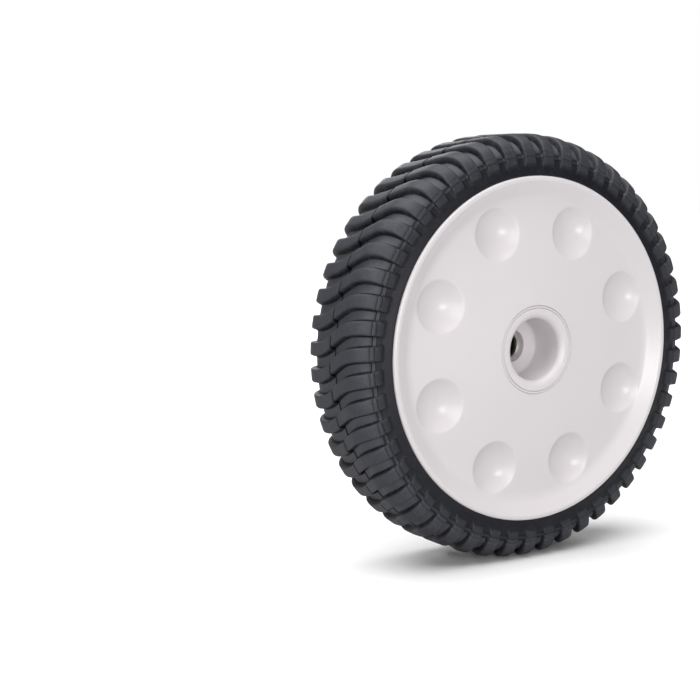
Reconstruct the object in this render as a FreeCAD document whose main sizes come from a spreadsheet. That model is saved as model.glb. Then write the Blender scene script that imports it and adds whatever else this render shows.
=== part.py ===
import FreeCAD, Part
import math
import os

import Sketcher

# Lawn mower drive wheel in millimetres. The wheel turns about the Y axis, its outer face looks along -Y,
# the side that carries the internal gear looks along +Y, and Z is up. The origin is the tyre's centre.

# Driving sizes: name, value and what it measures.
DRIVING_SIZES = [
    ("wheel_diameter", 203.2, "over the lugs"),
    ("tread_width", 48.0, "over the lug ends"),
    ("shoulder_round", 13.0, "radius from tread to sidewall over the lugs"),
    ("floor_shoulder_round", 11.5, "the same radius between the lugs"),
    ("lug_count", 51, "lugs round the tread"),
    ("lug_width", 6.4, "one lug, along the tread"),
    ("lug_height", 3.2, "lug above the tread floor"),
    ("lug_side_height", 1.6, "lug above the sidewall"),
    ("lug_shift", 12.6, "step along the tread from one lug end to the other"),
    ("lug_bend_spacing", 21.0, "across the tread between the two bends of a lug"),
    ("lug_bend_offset", 4.0, "middle between those bends, outboard of the centre"),
    ("lug_bend_round", 26.0, "radius of those bends"),
    ("lug_end_drop", 15.6, "from the tread down to the lug ends"),
    ("bead_step", 0.6, "inboard sidewall edge below the flange face"),
    ("lip_step", 0.9, "outboard sidewall edge below the lip front"),
    ("sidewall_height", 5.0, "from the rim edge out to the widest sidewall"),
    ("seat_gap", 0.1, "between tyre and rim"),
    ("tyre_height", 19.9, "from the rim edge out to the tread"),
    ("seat_depth", 8.7, "from the rim edge in to the drum that the tyre sits on"),
    ("lip_plane", 24.7, "lip front, outboard of the centre"),
    ("lip_thickness", 5.5, "lip front to tyre"),
    ("lip_face_width", 2.3, "flat ring on the lip front"),
    ("lip_edge_round", 1.0, "outer edge of the lip"),
    ("lip_slope_round", 2.0, "lip front to dish slope"),
    ("dish_depth", 4.0, "lip front to the deepest floor"),
    ("dish_slope_width", 7.9, "from the flat ring on the lip in to the dish floor"),
    ("dish_round", 10.0, "slope to floor"),
    ("web_wall", 2.8, "wall of the dish and of the recess"),
    ("flange_plane", 19.8, "flange face, inboard of the centre"),
    ("flange_thickness", 2.6, "inboard flange"),
    ("flange_edge_round", 0.8, "outer edge of the flange face"),
    ("channel_inset", 8.15, "from the rim edge in to the middle of the shallow channel in the flange face"),
    ("channel_width", 2.3, "that channel"),
    ("channel_depth", 0.6, "that channel"),
    ("gear_module", 2.5, "internal drive gear"),
    ("gear_wall", 3.0, "least wall of the drum outside the tooth roots"),
    ("tooth_tip_width", 3.3, "flat on a tooth tip"),
    ("pressure_angle", 20.0, "slope of the tooth flanks, degrees"),
    ("tooth_step", 0.6, "tooth ends below the flange face"),
    ("tooth_seat_width", 0.5, "ledge round the tooth roots"),
    ("hub_ring_diameter", 42.0, "flat ring round the recess"),
    ("hub_ring_drop", 0.7, "hub ring below the lip front"),
    ("witness_width", 1.2, "fine groove round the hub ring"),
    ("witness_depth", 0.3, "that groove"),
    ("recess_diameter", 29.4, "recess for the axle nut"),
    ("recess_depth", 19.8, "that recess"),
    ("recess_mouth_round", 3.0, "edge of the recess mouth"),
    ("recess_floor_round", 1.5, "recess wall to its floor"),
    ("shoulder_wall", 3.0, "floor of the recess"),
    ("hub_tube_diameter", 22.6, "hub outside, inboard end"),
    ("hub_end_plane", 23.4, "hub end, inboard of the centre"),
    ("hub_end_round", 0.6, "outer edge of the hub end"),
    ("boss_round", 2.0, "outer edge of the recess boss"),
    ("dimple_count", 8, "dimples and ribs round the web"),
    ("dimple_diameter", 25.0, "mouth of a dimple"),
    ("dimple_depth", 4.5, "below the dish floor"),
    ("hump_wall", 1.8, "wall behind a dimple"),
    ("inner_ring_diameter", 80.8, "inner ring rib, middle of its wall"),
    ("outer_ring_gap", 5.5, "from the tooth tips in to the middle of the outer ring rib"),
    ("rib_wall", 2.0, "ring ribs and radial ribs"),
    ("rib_top_plane", 1.0, "rib tops, outboard of the centre"),
    ("rib_end_gap", 1.0, "rib ends to the tooth tips"),
    ("fin_drop", 0.8, "fin tops below the hub end"),
    ("fin_diameter", 32.0, "over the fins at the hub end"),
    ("fin_foot_diameter", 43.0, "where the fins run out into the ribs"),
    ("fin_round", 3.5, "top corner of a fin"),
    ("fin_foot_round", 9.0, "foot of a fin"),
    ("bush_outer_diameter", 15.875, "metal sleeve"),
    ("bush_length", 23.8, "metal sleeve"),
    ("bush_setback", 0.8, "sleeve end below the hub end"),
    ("bush_fit_gap", 0.01, "between sleeve and hub"),
    ("bush_chamfer", 0.5, "bore edges of the sleeve"),
    ("axle_diameter", 12.7, "axle that the sleeve runs on"),
    ("axle_gap", 0.05, "between axle and sleeve"),
    ("trim_margin", 3.0, "extra length of cutting shapes"),
]

# Sizes worked out from the driving ones, so that what fits together follows the same values.
DERIVED_SIZES = [
    ("wheel_radius", "wheel_diameter / 2"),
    ("half_tread", "tread_width / 2"),
    ("floor_radius", "wheel_radius - lug_height"),
    ("half_floor", "half_tread - lug_side_height"),
    ("lug_end_radius", "wheel_radius - lug_end_drop"),
    ("lug_pad_height", "lug_end_drop + trim_margin"),
    ("lug_near", "(lug_width - lug_shift) / 2"),
    ("lug_far", "(lug_width + lug_shift) / 2"),
    ("lug_bend_outboard", "lug_bend_spacing / 2 + lug_bend_offset"),
    ("lug_bend_inboard", "lug_bend_spacing / 2 - lug_bend_offset"),
    ("lug_reach", "half_tread + trim_margin"),
    ("rim_diameter", "wheel_diameter - 2 * tyre_height"),
    ("rim_radius", "rim_diameter / 2"),
    ("drum_diameter", "rim_diameter - 2 * seat_depth"),
    ("drum_radius", "drum_diameter / 2"),
    ("lip_back", "lip_plane - lip_thickness"),
    ("lip_inner_radius", "rim_radius - lip_face_width"),
    ("flange_back", "flange_plane - flange_thickness"),
    ("tyre_bore_radius", "drum_radius + seat_gap"),
    ("bead_radius", "rim_radius + seat_gap"),
    ("seat_outboard", "lip_back - seat_gap"),
    ("seat_inboard", "flange_back - seat_gap"),
    ("bead_inboard", "flange_plane - bead_step"),
    ("bead_outboard", "lip_plane - lip_step"),
    ("sidewall_radius", "bead_radius + sidewall_height"),
    ("envelope_core_radius", "tyre_bore_radius - trim_margin"),
    ("dish_floor", "lip_plane - dish_depth"),
    ("dish_floor_diameter", "rim_diameter - 2 * (lip_face_width + dish_slope_width)"),
    ("dish_floor_radius", "dish_floor_diameter / 2"),
    ("web_back", "dish_floor - web_wall"),
    ("web_middle", "dish_floor - web_wall / 2"),
    ("channel_diameter", "rim_diameter - 2 * channel_inset"),
    ("channel_outer_radius", "(channel_diameter + channel_width) / 2"),
    ("channel_inner_radius", "(channel_diameter - channel_width) / 2"),
    ("channel_floor", "flange_plane - channel_depth"),
    ("gear_teeth", "round((drum_diameter - 2 * gear_wall) / gear_module) - 2"),
    ("gear_pitch_radius", "gear_module * gear_teeth / 2"),
    ("tooth_tip_radius", "gear_pitch_radius - gear_module"),
    ("tooth_root_radius", "gear_pitch_radius + gear_module"),
    ("tooth_seat_radius", "tooth_root_radius + tooth_seat_width"),
    ("tooth_anchor_radius", "(tooth_root_radius + drum_radius) / 2"),
    ("tooth_face", "flange_plane - tooth_step"),
    ("tooth_length", "tooth_face + web_middle"),
    ("half_tooth_tip", "tooth_tip_width / 2"),
    ("half_tooth_root", "half_tooth_tip + (tooth_anchor_radius - tooth_tip_radius)"
                        " * tan(pressure_angle * 1deg)"),
    ("hub_face", "lip_plane - hub_ring_drop"),
    ("hub_ring_radius", "hub_ring_diameter / 2"),
    ("hub_web_back", "hub_face - web_wall"),
    ("hub_web_middle", "hub_face - web_wall / 2"),
    ("witness_inner_radius", "hub_ring_radius - witness_width"),
    ("witness_floor", "hub_face - witness_depth"),
    ("witness_front", "hub_face + trim_margin"),
    ("recess_radius", "recess_diameter / 2"),
    ("recess_floor", "hub_face - recess_depth"),
    ("boss_radius", "recess_radius + web_wall"),
    ("boss_middle_radius", "recess_radius + web_wall / 2"),
    ("boss_end", "recess_floor - shoulder_wall"),
    ("boss_end_middle", "recess_floor - shoulder_wall / 2"),
    ("hub_tube_radius", "hub_tube_diameter / 2"),
    ("hub_bore_radius", "bush_outer_diameter / 2 + bush_fit_gap"),
    ("hub_wall_radius", "(hub_tube_radius + hub_bore_radius) / 2"),
    ("dimple_circle_diameter", "dish_floor_diameter - dimple_diameter"),
    ("dimple_circle_radius", "dimple_circle_diameter / 2"),
    ("dimple_radius", "dimple_diameter / 2"),
    ("dimple_sphere_radius", "(dimple_radius * dimple_radius + dimple_depth * dimple_depth)"
                             " / (2 * dimple_depth)"),
    ("dimple_turn", "180 / dimple_count"),
    ("dimple_face", "dish_floor + (hub_face - dish_floor) * (dish_floor_radius - dimple_circle_radius)"
                    " / (dish_floor_radius - hub_ring_radius)"),
    ("dimple_bottom", "dimple_face - dimple_depth"),
    ("dimple_front", "lip_plane + trim_margin"),
    ("dimple_centre", "dimple_bottom + dimple_sphere_radius"),
    ("dimple_mouth_reach", "dimple_circle_radius + sqrt(dimple_sphere_radius * dimple_sphere_radius"
                           " - (dimple_centre - dimple_front) * (dimple_centre - dimple_front))"),
    ("hump_sphere_radius", "dimple_sphere_radius + hump_wall"),
    ("hump_base", "dimple_face - web_wall / 2"),
    ("hump_top", "dimple_bottom - hump_wall"),
    ("hump_reach", "dimple_circle_radius + sqrt(hump_sphere_radius * hump_sphere_radius"
                   " - (dimple_centre - hump_base) * (dimple_centre - hump_base))"),
    ("inner_ring_inside", "(inner_ring_diameter - rib_wall) / 2"),
    ("inner_ring_outside", "(inner_ring_diameter + rib_wall) / 2"),
    ("outer_ring_diameter", "2 * (tooth_tip_radius - outer_ring_gap)"),
    ("outer_ring_inside", "(outer_ring_diameter - rib_wall) / 2"),
    ("outer_ring_outside", "(outer_ring_diameter + rib_wall) / 2"),
    ("outer_ring_middle", "outer_ring_diameter / 2"),
    ("rib_end_radius", "tooth_tip_radius - rib_end_gap"),
    ("fin_top", "hub_end_plane - fin_drop"),
    ("fin_radius", "fin_diameter / 2"),
    ("fin_foot_radius", "fin_foot_diameter / 2"),
    ("bush_radius", "bush_outer_diameter / 2"),
    ("bush_bore_radius", "axle_diameter / 2 + axle_gap"),
    ("bush_inboard_end", "hub_end_plane - bush_setback"),
    ("bush_outboard_end", "bush_inboard_end - bush_length"),
]

SHEET = "Sizes"
FULL_TURN = 360.0

doc = FreeCAD.newDocument("LawnMowerWheel")
sheet = doc.addObject("Spreadsheet::Sheet", SHEET)


def fill_sheet():
    """Write the driving sizes as numbers and the derived ones as formulas, each with its alias."""
    for row, (name, number, meaning) in enumerate(DRIVING_SIZES, start=1):
        sheet.set(f"A{row}", name)
        sheet.set(f"B{row}", str(number))
        sheet.set(f"C{row}", meaning)
        sheet.setAlias(f"B{row}", name)
    for row, (name, formula) in enumerate(DERIVED_SIZES, start=len(DRIVING_SIZES) + 2):
        sheet.set(f"A{row}", name)
        sheet.set(f"B{row}", f"={formula}")
        sheet.setAlias(f"B{row}", name)
    doc.recompute()


def number_of(size):
    """Return the number in a named cell; a leading minus sign turns it round."""
    sign = -1.0 if size.startswith("-") else 1.0
    return sign * float(getattr(sheet, size.lstrip("-")))


def cell_of(size):
    """Return the expression that reads the same cell."""
    sign = "-" if size.startswith("-") else ""
    return f"{sign}{SHEET}.{size.lstrip('-')}"


def origin_feature(body, role):
    """Return one of the body's own origin planes or axes."""
    return next(feature for feature in body.Origin.OriginFeatures if feature.Role == role)


def new_body(name):
    """Start a body whose label is the piece's name."""
    body = doc.addObject("PartDesign::Body", name)
    body.Label = name
    return body


def new_sketch(body, name, plane):
    """Start a sketch on one of the body's own origin planes."""
    sketch = body.newObject("Sketcher::SketchObject", name)
    sketch.AttachmentSupport = (origin_feature(body, plane), "")
    sketch.MapMode = "FlatFace"
    return sketch


def bind(sketch, kind, size, *where):
    """Add a dimension to a sketch and tie it to a cell."""
    index = sketch.addConstraint(Sketcher.Constraint(kind, *where, number_of(size)))
    sketch.setExpression(f"Constraints[{index}]", cell_of(size))


def place_point(sketch, geometry, end, across, up):
    """Tie a point of the sketch to two cells, measured from the sketch's origin."""
    origin = (-1, 1)
    bind(sketch, "DistanceX", across, *origin, geometry, end)
    bind(sketch, "DistanceY", up, *origin, geometry, end)


def add_outline(sketch, corners):
    """Draw a closed outline of straight lines, with the corners that name a radius rounded by tangent arcs.

    Each corner is (across, up) or (across, up, radius), all three the names of cells.
    """
    points = [FreeCAD.Vector(number_of(corner[0]), number_of(corner[1]), 0) for corner in corners]
    count = len(corners)
    arrivals = list(points)
    departures = list(points)
    centres = {}
    for index, corner in enumerate(corners):
        if len(corner) < 3:
            continue
        point = points[index]
        back = (points[index - 1] - point).normalize()
        ahead = (points[(index + 1) % count] - point).normalize()
        half_angle = back.getAngle(ahead) / 2
        radius = number_of(corner[2])
        arrivals[index] = point + back * (radius / math.tan(half_angle))
        departures[index] = point + ahead * (radius / math.tan(half_angle))
        centres[index] = point + (back + ahead).normalize() * (radius / math.sin(half_angle))
    lines = []
    for index in range(count):
        following = (index + 1) % count
        lines.append(sketch.addGeometry(Part.LineSegment(departures[index], arrivals[following]), False))
    start, finish = 1, 2
    for index, corner in enumerate(corners):
        before = lines[index - 1]
        after = lines[index]
        if index not in centres:
            sketch.addConstraint(Sketcher.Constraint("Coincident", before, finish, after, start))
            place_point(sketch, after, start, corner[0], corner[1])
            continue
        first = arrivals[index] - centres[index]
        last = departures[index] - centres[index]
        turns_left = first.cross(last).z > 0
        begin, end = (first, last) if turns_left else (last, first)
        circle = Part.Circle(centres[index], FreeCAD.Vector(0, 0, 1), first.Length)
        arc = Part.ArcOfCircle(circle, math.atan2(begin.y, begin.x), math.atan2(end.y, end.x))
        rounding = sketch.addGeometry(arc, False)
        sketch.addConstraint(
            Sketcher.Constraint("Tangent", before, finish, rounding, start if turns_left else finish))
        sketch.addConstraint(
            Sketcher.Constraint("Tangent", rounding, finish if turns_left else start, after, start))
        bind(sketch, "Radius", corner[2], rounding)
        apex = sketch.addGeometry(Part.Point(points[index]), True)
        sketch.addConstraint(Sketcher.Constraint("PointOnObject", apex, start, before))
        sketch.addConstraint(Sketcher.Constraint("PointOnObject", apex, start, after))
        place_point(sketch, apex, start, corner[0], corner[1])


def add_cap(sketch, tip, flat, centre, radius, reach):
    """Draw half of a ball's slice beside the dimple's axis, with that axis as a construction line.

    Args name cells: tip and flat are the slice's ends along the wheel's axis, centre is the ball's middle.
    """
    axis_height = number_of("dimple_circle_radius")
    tip_point = FreeCAD.Vector(number_of(tip), axis_height, 0)
    foot_point = FreeCAD.Vector(number_of(flat), axis_height, 0)
    edge_point = FreeCAD.Vector(number_of(flat), number_of(reach), 0)
    middle = FreeCAD.Vector(number_of(centre), axis_height, 0)
    circle = Part.Circle(middle, FreeCAD.Vector(0, 0, 1), number_of(radius))
    edge_angle = math.atan2(edge_point.y - middle.y, edge_point.x - middle.x)
    start, finish, centre_end = 1, 2, 3
    arc = sketch.addGeometry(Part.ArcOfCircle(circle, 0, edge_angle), False)
    wall = sketch.addGeometry(Part.LineSegment(edge_point, foot_point), False)
    spine = sketch.addGeometry(Part.LineSegment(foot_point, tip_point), False)
    axis = sketch.addGeometry(Part.LineSegment(foot_point, tip_point), True)
    sketch.addConstraint(Sketcher.Constraint("Coincident", arc, finish, wall, start))
    sketch.addConstraint(Sketcher.Constraint("Coincident", wall, finish, spine, start))
    sketch.addConstraint(Sketcher.Constraint("Coincident", spine, finish, arc, start))
    sketch.addConstraint(Sketcher.Constraint("Coincident", axis, start, spine, start))
    sketch.addConstraint(Sketcher.Constraint("Coincident", axis, finish, spine, finish))
    sketch.addConstraint(Sketcher.Constraint("Vertical", wall))
    bind(sketch, "Radius", radius, arc)
    place_point(sketch, arc, centre_end, centre, "dimple_circle_radius")
    place_point(sketch, spine, start, flat, "dimple_circle_radius")
    sketch.addConstraint(Sketcher.Constraint("Horizontal", spine))


def turn_sketch(sketch, size):
    """Turn a sketch that lies along the wheel's axis about that axis, by the angle in a cell."""
    sketch.AttachmentOffset = FreeCAD.Placement(
        FreeCAD.Vector(), FreeCAD.Rotation(FreeCAD.Vector(1, 0, 0), number_of(size)))
    sketch.setExpression("AttachmentOffset.Rotation.Angle", cell_of(size))


def shift_sketch(sketch, size):
    """Move a sketch along its own normal by the distance in a cell."""
    sketch.AttachmentOffset = FreeCAD.Placement(FreeCAD.Vector(0, 0, number_of(size)), FreeCAD.Rotation())
    sketch.setExpression("AttachmentOffset.Base.z", cell_of(size))


def revolve(body, kind, name, sketch, axis="H_Axis"):
    """Turn a sketch a full turn, to add or to cut material."""
    feature = body.newObject(f"PartDesign::{kind}", name)
    feature.Profile = sketch
    feature.ReferenceAxis = (sketch, [axis])
    feature.Angle = FULL_TURN
    doc.recompute()
    return feature


def pad(body, name, sketch, length, side_type="One side"):
    """Raise a sketch along its normal by the length in a cell."""
    feature = body.newObject("PartDesign::Pad", name)
    feature.Profile = sketch
    feature.SideType = side_type
    feature.setExpression("Length", cell_of(length))
    doc.recompute()
    return feature


def repeat_round(body, name, feature, count):
    """Repeat a feature evenly round the wheel's axis."""
    pattern = body.newObject("PartDesign::PolarPattern", name)
    pattern.Originals = [feature]
    pattern.Axis = (origin_feature(body, "Y_Axis"), [""])
    pattern.Angle = FULL_TURN
    pattern.setExpression("Occurrences", cell_of(count))
    body.Tip = pattern
    doc.recompute()
    return pattern


def make_tyre():
    """Solid rubber tyre: a turned carcass with S-shaped lugs, trimmed to the rounded tread."""
    carcass = new_body("tyre_carcass")
    section = new_sketch(carcass, "carcass_section", "YZ_Plane")
    add_outline(section, [
        ("-seat_outboard", "tyre_bore_radius"),
        ("seat_inboard", "tyre_bore_radius"),
        ("seat_inboard", "bead_radius"),
        ("bead_inboard", "bead_radius"),
        ("half_floor", "sidewall_radius"),
        ("half_floor", "floor_radius", "floor_shoulder_round"),
        ("-half_floor", "floor_radius", "floor_shoulder_round"),
        ("-half_floor", "sidewall_radius"),
        ("-bead_outboard", "bead_radius"),
        ("-seat_outboard", "bead_radius"),
    ])
    revolve(carcass, "Revolution", "carcass_turned", section)
    lug_outline = new_sketch(carcass, "lug_outline", "XY_Plane")
    shift_sketch(lug_outline, "lug_end_radius")
    add_outline(lug_outline, [
        ("-lug_near", "-lug_reach"),
        ("lug_far", "-lug_reach"),
        ("lug_far", "-lug_bend_outboard", "lug_bend_round"),
        ("lug_near", "lug_bend_inboard", "lug_bend_round"),
        ("lug_near", "lug_reach"),
        ("-lug_far", "lug_reach"),
        ("-lug_far", "lug_bend_inboard", "lug_bend_round"),
        ("-lug_near", "-lug_bend_outboard", "lug_bend_round"),
    ])
    lug = pad(carcass, "lug", lug_outline, "lug_pad_height")
    repeat_round(carcass, "lugs", lug, "lug_count")

    envelope = new_body("tread_envelope")
    limits = new_sketch(envelope, "envelope_section", "YZ_Plane")
    add_outline(limits, [
        ("-half_tread", "envelope_core_radius"),
        ("half_tread", "envelope_core_radius"),
        ("half_tread", "wheel_radius", "shoulder_round"),
        ("-half_tread", "wheel_radius", "shoulder_round"),
    ])
    revolve(envelope, "Revolution", "envelope_turned", limits)

    tyre = doc.addObject("Part::Common", "tyre")
    tyre.Label = "tyre"
    tyre.Base = carcass
    tyre.Tool = envelope
    doc.recompute()
    return tyre


def make_rim():
    """One plastic moulding: dished face, drum, internal gear, ribs and hub."""
    rim = new_body("rim")
    section = new_sketch(rim, "rim_section", "YZ_Plane")
    add_outline(section, [
        ("-hub_face", "recess_radius", "recess_mouth_round"),
        ("-hub_face", "hub_ring_radius"),
        ("-dish_floor", "dish_floor_radius", "dish_round"),
        ("-lip_plane", "lip_inner_radius", "lip_slope_round"),
        ("-lip_plane", "rim_radius", "lip_edge_round"),
        ("-lip_back", "rim_radius"),
        ("-lip_back", "drum_radius"),
        ("flange_back", "drum_radius"),
        ("flange_back", "rim_radius"),
        ("flange_plane", "rim_radius", "flange_edge_round"),
        ("flange_plane", "channel_outer_radius"),
        ("channel_floor", "channel_outer_radius"),
        ("channel_floor", "channel_inner_radius"),
        ("flange_plane", "channel_inner_radius"),
        ("flange_plane", "tooth_seat_radius"),
        ("tooth_face", "tooth_seat_radius"),
        ("tooth_face", "tooth_root_radius"),
        ("-web_back", "tooth_root_radius"),
        ("-hub_web_back", "boss_radius"),
        ("-boss_end", "boss_radius", "boss_round"),
        ("-boss_end", "hub_tube_radius"),
        ("hub_end_plane", "hub_tube_radius", "hub_end_round"),
        ("hub_end_plane", "hub_bore_radius"),
        ("-recess_floor", "hub_bore_radius"),
        ("-recess_floor", "recess_radius", "recess_floor_round"),
    ])
    revolve(rim, "Revolution", "rim_turned", section)
    add_humps(rim)
    add_ribs(rim)
    add_dimples(rim)
    add_witness_groove(rim)
    add_gear(rim)
    return rim


def add_humps(rim):
    """Round humps on the back of the web, which give the dimples a wall of their own."""
    hump_section = new_sketch(rim, "hump_section", "YZ_Plane")
    turn_sketch(hump_section, "dimple_turn")
    add_cap(hump_section, "-hump_top", "-hump_base", "-dimple_centre", "hump_sphere_radius", "hump_reach")
    hump = revolve(rim, "Revolution", "hump", hump_section, "Axis0")
    repeat_round(rim, "humps", hump, "dimple_count")


def add_dimples(rim):
    """Round dimples in the outer face, cut after the ribs so that none shows through."""
    dimple_section = new_sketch(rim, "dimple_section", "YZ_Plane")
    turn_sketch(dimple_section, "dimple_turn")
    add_cap(
        dimple_section, "-dimple_bottom", "-dimple_front", "-dimple_centre", "dimple_sphere_radius",
        "dimple_mouth_reach")
    dimple = revolve(rim, "Groove", "dimple", dimple_section, "Axis0")
    repeat_round(rim, "dimples", dimple, "dimple_count")


def add_ribs(rim):
    """Two ring ribs, radial ribs that climb the hub as fins, and short stubs between them."""
    for ring in ("inner_ring", "outer_ring"):
        ring_section = new_sketch(rim, f"{ring}_section", "YZ_Plane")
        add_outline(ring_section, [
            ("-web_middle", f"{ring}_inside"),
            ("-rib_top_plane", f"{ring}_inside"),
            ("-rib_top_plane", f"{ring}_outside"),
            ("-web_middle", f"{ring}_outside"),
        ])
        revolve(rim, "Revolution", ring, ring_section)
    rib_outline = new_sketch(rim, "rib_outline", "YZ_Plane")
    add_outline(rib_outline, [
        ("fin_top", "hub_wall_radius"),
        ("fin_top", "fin_radius", "fin_round"),
        ("-rib_top_plane", "fin_foot_radius", "fin_foot_round"),
        ("-rib_top_plane", "rib_end_radius"),
        ("-web_middle", "rib_end_radius"),
        ("-hub_web_middle", "boss_middle_radius"),
        ("-boss_end_middle", "boss_middle_radius"),
        ("-boss_end_middle", "hub_wall_radius"),
    ])
    rib = pad(rim, "rib", rib_outline, "rib_wall", "Symmetric")
    repeat_round(rim, "ribs", rib, "dimple_count")
    stub_outline = new_sketch(rim, "stub_outline", "YZ_Plane")
    turn_sketch(stub_outline, "dimple_turn")
    add_outline(stub_outline, [
        ("-rib_top_plane", "outer_ring_middle"),
        ("-rib_top_plane", "rib_end_radius"),
        ("-web_middle", "rib_end_radius"),
        ("-web_middle", "outer_ring_middle"),
    ])
    stub = pad(rim, "stub", stub_outline, "rib_wall", "Symmetric")
    repeat_round(rim, "stubs", stub, "dimple_count")


def add_gear(rim):
    """Internal spur teeth with straight flanks, from the flange down to the web."""
    tooth_outline = new_sketch(rim, "tooth_outline", "XZ_Plane")
    shift_sketch(tooth_outline, "-tooth_face")
    add_outline(tooth_outline, [
        ("-half_tooth_tip", "tooth_tip_radius"),
        ("half_tooth_tip", "tooth_tip_radius"),
        ("half_tooth_root", "tooth_anchor_radius"),
        ("-half_tooth_root", "tooth_anchor_radius"),
    ])
    tooth = pad(rim, "tooth", tooth_outline, "tooth_length")
    repeat_round(rim, "teeth", tooth, "gear_teeth")


def add_witness_groove(rim):
    """Fine groove that the mould's core leaves round the hub ring."""
    groove_section = new_sketch(rim, "witness_section", "YZ_Plane")
    add_outline(groove_section, [
        ("-witness_front", "witness_inner_radius"),
        ("-witness_floor", "witness_inner_radius"),
        ("-witness_floor", "hub_ring_radius"),
        ("-witness_front", "hub_ring_radius"),
    ])
    revolve(rim, "Groove", "witness_groove", groove_section)


def make_bush():
    """Plain metal sleeve in the hub, with chamfered bore edges."""
    bush = new_body("axle_bush")
    section = new_sketch(bush, "bush_section", "YZ_Plane")
    add_outline(section, [
        ("bush_outboard_end", "bush_bore_radius"),
        ("bush_inboard_end", "bush_bore_radius"),
        ("bush_inboard_end", "bush_radius"),
        ("bush_outboard_end", "bush_radius"),
    ])
    turned = revolve(bush, "Revolution", "bush_turned", section)
    bore_radius = number_of("bush_bore_radius")
    bore_edges = [
        f"Edge{index}"
        for index, edge in enumerate(turned.Shape.Edges, start=1)
        if isinstance(edge.Curve, Part.Circle) and math.isclose(edge.Curve.Radius, bore_radius)
    ]
    chamfer = bush.newObject("PartDesign::Chamfer", "bore_chamfers")
    chamfer.Base = (turned, bore_edges)
    chamfer.setExpression("Size", cell_of("bush_chamfer"))
    bush.Tip = chamfer
    doc.recompute()
    return bush


def check(pieces):
    """Stop if any object failed or any piece isn't one sound solid."""
    for entry in doc.Objects:
        if "Invalid" in entry.State or "Error" in entry.State:
            raise RuntimeError(f"{entry.Label} failed: {entry.State}")
    for piece in pieces:
        shape = piece.Shape
        if shape.isNull() or not shape.isValid() or len(shape.Solids) != 1:
            raise RuntimeError(f"{piece.Label} isn't one sound solid")


fill_sheet()
wheel_pieces = [make_tyre(), make_rim(), make_bush()]
check(wheel_pieces)
os.makedirs("parts", exist_ok=True)
for wheel_piece in wheel_pieces:
    wheel_piece.Shape.exportStep(f"parts/{wheel_piece.Label}.step")
    print(f"{wheel_piece.Label}: {wheel_piece.Shape.Volume / 1000:.1f} cm3")
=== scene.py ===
"""Looks of a lawn mower drive wheel: rubber tyre, moulded rim and steel axle sleeve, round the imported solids.

Sizes are in millimetres and turn to metres where a mesh is made. The wheel turns about Y, its outer face
looks along -Y and Z is up. A section point is (across, out): along the axle, and out from it.
"""

import logging
import math
from collections.abc import Callable, Sequence
from dataclasses import dataclass
from enum import Enum
from typing import NamedTuple

import bmesh
import bpy
import numpy as np
from bpy.types import Camera, Light, Material, Mesh, Node, NodeSocket, NodeTree, Object
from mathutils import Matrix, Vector


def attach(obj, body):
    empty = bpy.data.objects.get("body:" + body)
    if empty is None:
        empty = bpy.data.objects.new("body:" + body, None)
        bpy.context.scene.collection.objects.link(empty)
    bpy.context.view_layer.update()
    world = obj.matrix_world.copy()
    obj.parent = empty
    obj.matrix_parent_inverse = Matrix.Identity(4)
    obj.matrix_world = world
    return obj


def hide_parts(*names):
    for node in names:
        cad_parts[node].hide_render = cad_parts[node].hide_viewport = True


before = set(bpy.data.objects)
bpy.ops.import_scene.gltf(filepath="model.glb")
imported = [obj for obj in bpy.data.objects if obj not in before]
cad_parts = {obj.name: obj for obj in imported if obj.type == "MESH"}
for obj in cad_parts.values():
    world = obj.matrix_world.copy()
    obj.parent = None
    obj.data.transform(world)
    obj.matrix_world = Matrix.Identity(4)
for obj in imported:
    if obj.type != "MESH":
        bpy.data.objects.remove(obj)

LOG = logging.getLogger("mower_wheel")
MILLIMETRE = 0.001
BODY = "root"
TURN = 2.0 * math.pi
FINE_ROUNDING = 0.7
FINE_STEPS = 2
PRISM_CORNER_DEGREES = 35.0
WELD_DISTANCE = 0.004

Colour = tuple[float, float, float, float]
Place = tuple[float, float, float]
Section = list[tuple[float, float]]
Inputs = dict[int | str, object]


class Slot(Enum):
    """Names of the material slots, which nothing in the script uses."""

    TYRE = "tyre_rubber"
    RIM = "rim_plastic"
    SLEEVE = "bush_steel"


class Joining(Enum):
    """How closed meshes are combined."""

    ADD = "UNION"
    CUT = "DIFFERENCE"


def linear(code: str) -> Colour:
    """Turn an sRGB hex colour to the linear values that shaders take.

    Args:
        code: six hex digits, with or without a leading hash.

    Returns:
        Red, green, blue and a full alpha.
    """
    digits = code.lstrip("#")
    parts = [int(digits[start:start + 2], 16) / 255.0 for start in (0, 2, 4)]
    red, green, blue = (p / 12.92 if p <= 0.04045 else ((p + 0.055) / 1.055) ** 2.4 for p in parts)
    return red, green, blue, 1.0


def fill(tree: NodeTree, node: Node, inputs: Inputs) -> None:
    """Set or link a node's inputs.

    Args:
        tree: the shader, world or geometry tree.
        node: one of its nodes.
        inputs: a value or an output socket for each named or numbered input.
    """
    for key, value in inputs.items():
        if isinstance(value, NodeSocket):
            tree.links.new(value, node.inputs[key])
        else:
            node.inputs[key].default_value = value


def add_node(tree: NodeTree, kind: str, inputs: Inputs | None = None, **settings: object) -> Node:
    """Add a node to a tree.

    Args:
        tree: the shader, world or geometry tree.
        kind: the node's type name.
        inputs: its inputs, as fill takes them.
        **settings: the node's own properties.

    Returns:
        The new node.
    """
    node = tree.nodes.new(kind)
    for name, value in settings.items():
        setattr(node, name, value)
    fill(tree, node, inputs or {})
    return node


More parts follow.
